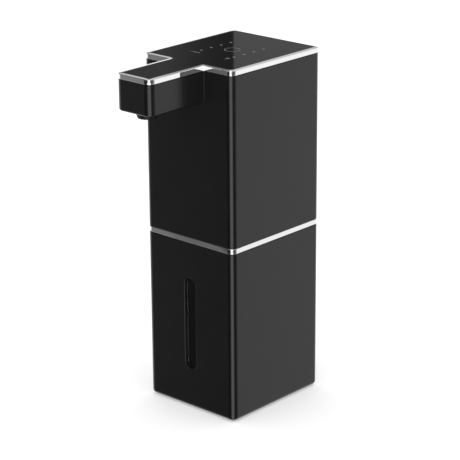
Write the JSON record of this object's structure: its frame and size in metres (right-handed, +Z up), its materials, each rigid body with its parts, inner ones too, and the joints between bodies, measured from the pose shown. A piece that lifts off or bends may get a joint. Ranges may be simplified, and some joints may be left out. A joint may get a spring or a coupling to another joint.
{
  "type": "touchless foam soap dispenser",
  "caption": "Square-edged countertop foam soap dispenser: lift-off motor head with a hand-sensing spout over a soap tank with a level window.",
  "frame": {"origin": "centre of the base pad's underside, on the surface that the dispenser stands on", "axes": "+Z up; the spout points towards -Y; +X is the dispenser's left side as its user faces it"},
  "size_m": [0.066, 0.1167, 0.2058],
  "materials": {
    "gloss_black": "satin gloss moulded ABS",
    "panel_black": "mirror gloss touch panel",
    "chrome": "polished plating",
    "clear_plastic": "clear moulding",
    "smoked_window": "smoke-tinted clear moulding",
    "smoked_lens": "infrared-passing dark lens",
    "silicone": "matte silicone",
    "white_silicone": "milky silicone",
    "black_abs": "moulded, fine texture",
    "white_pom": "moulded",
    "steel": "plated",
    "ferrite": "sintered",
    "brass": "sintered bronze",
    "board_green": "solder mask",
    "chip_black": "moulded epoxy",
    "connector_white": "moulded nylon",
    "cell_wrap": "shrink wrap over a steel can",
    "lead_red": "insulated lead"
  },
  "bodies": {
    "tank": {"tank_sleeve": "gloss_black", "soap_tank": "clear_plastic", "level_window": "smoked_window", "base_pad": "silicone", "mid_trim": "chrome"},
    "head": {"upper_housing": "gloss_black", "top_trim": "chrome", "top_panel": "panel_black", "touch_board": "board_green", "panel_screw_1": "steel", "panel_screw_2": "steel", "light_guide": "clear_plastic", "touch_spring": "steel", "head_chassis": "black_abs", "chassis_screw_1": "steel", "chassis_screw_2": "steel", "chassis_screw_3": "steel", "chassis_screw_4": "steel", "tank_seal": "silicone", "pump_damper": "silicone", "pump_cap": "white_pom", "pump_valve_plate": "white_pom", "pump_diaphragm": "white_silicone", "pump_housing": "black_abs", "pump_screw_1": "steel", "pump_screw_2": "steel", "pump_screw_3": "steel", "motor_can": "steel", "motor_bearing_front": "brass", "motor_bearing_rear": "brass", "motor_end_cap": "black_abs", "motor_magnet_1": "ferrite", "motor_magnet_2": "ferrite", "dip_tube": "white_silicone", "tube_strainer": "white_pom", "foam_hose": "white_silicone", "nozzle_body": "white_pom", "foam_screen": "white_pom", "nozzle_tip": "black_abs", "sensor_window": "smoked_lens", "ir_emitter": "smoked_lens", "ir_receiver": "chip_black", "sensor_board": "board_green", "battery_cell": "cell_wrap", "battery_cradle": "black_abs", "main_board": "board_green", "control_chip": "chip_black", "board_connector": "connector_white", "usb_socket": "steel", "motor_lead_1": "lead_red", "motor_lead_2": "lead_red", "battery_lead_1": "lead_red", "battery_lead_2": "lead_red"},
    "rotor": {"motor_shaft": "steel", "motor_armature": "steel", "pump_cam": "white_pom", "cam_pin": "steel"},
    "rocker": {"pump_rocker": "white_pom"},
    "flap": {"charge_flap": "silicone"}
  },
  "joints": [
    {"name": "head_lift", "type": "slide", "parent": "tank", "child": "head", "axis": [0, 0, 1], "range_m": [0, 0.13]},
    {"name": "motor_spin", "type": "hinge", "parent": "head", "child": "rotor", "pos_m": [-0.008, -0.0059, 0.1306], "axis": [0, 0, 1], "continuous": true},
    {"name": "rocker_turn", "type": "hinge", "parent": "rotor", "child": "rocker", "pos_m": [-0.008, -0.0059, 0.122], "axis": [0.1219, 0, 0.9925], "continuous": true},
    {"name": "flap_hinge", "type": "hinge", "parent": "head", "child": "flap", "pos_m": [0.008, 0.0374, 0.1214], "axis": [0, 0, -1], "range_deg": [0, 100]}
  ],
  "couplings": [
    {"joint": "rocker_turn", "follows": "motor_spin", "ratio": -1}
  ]
}
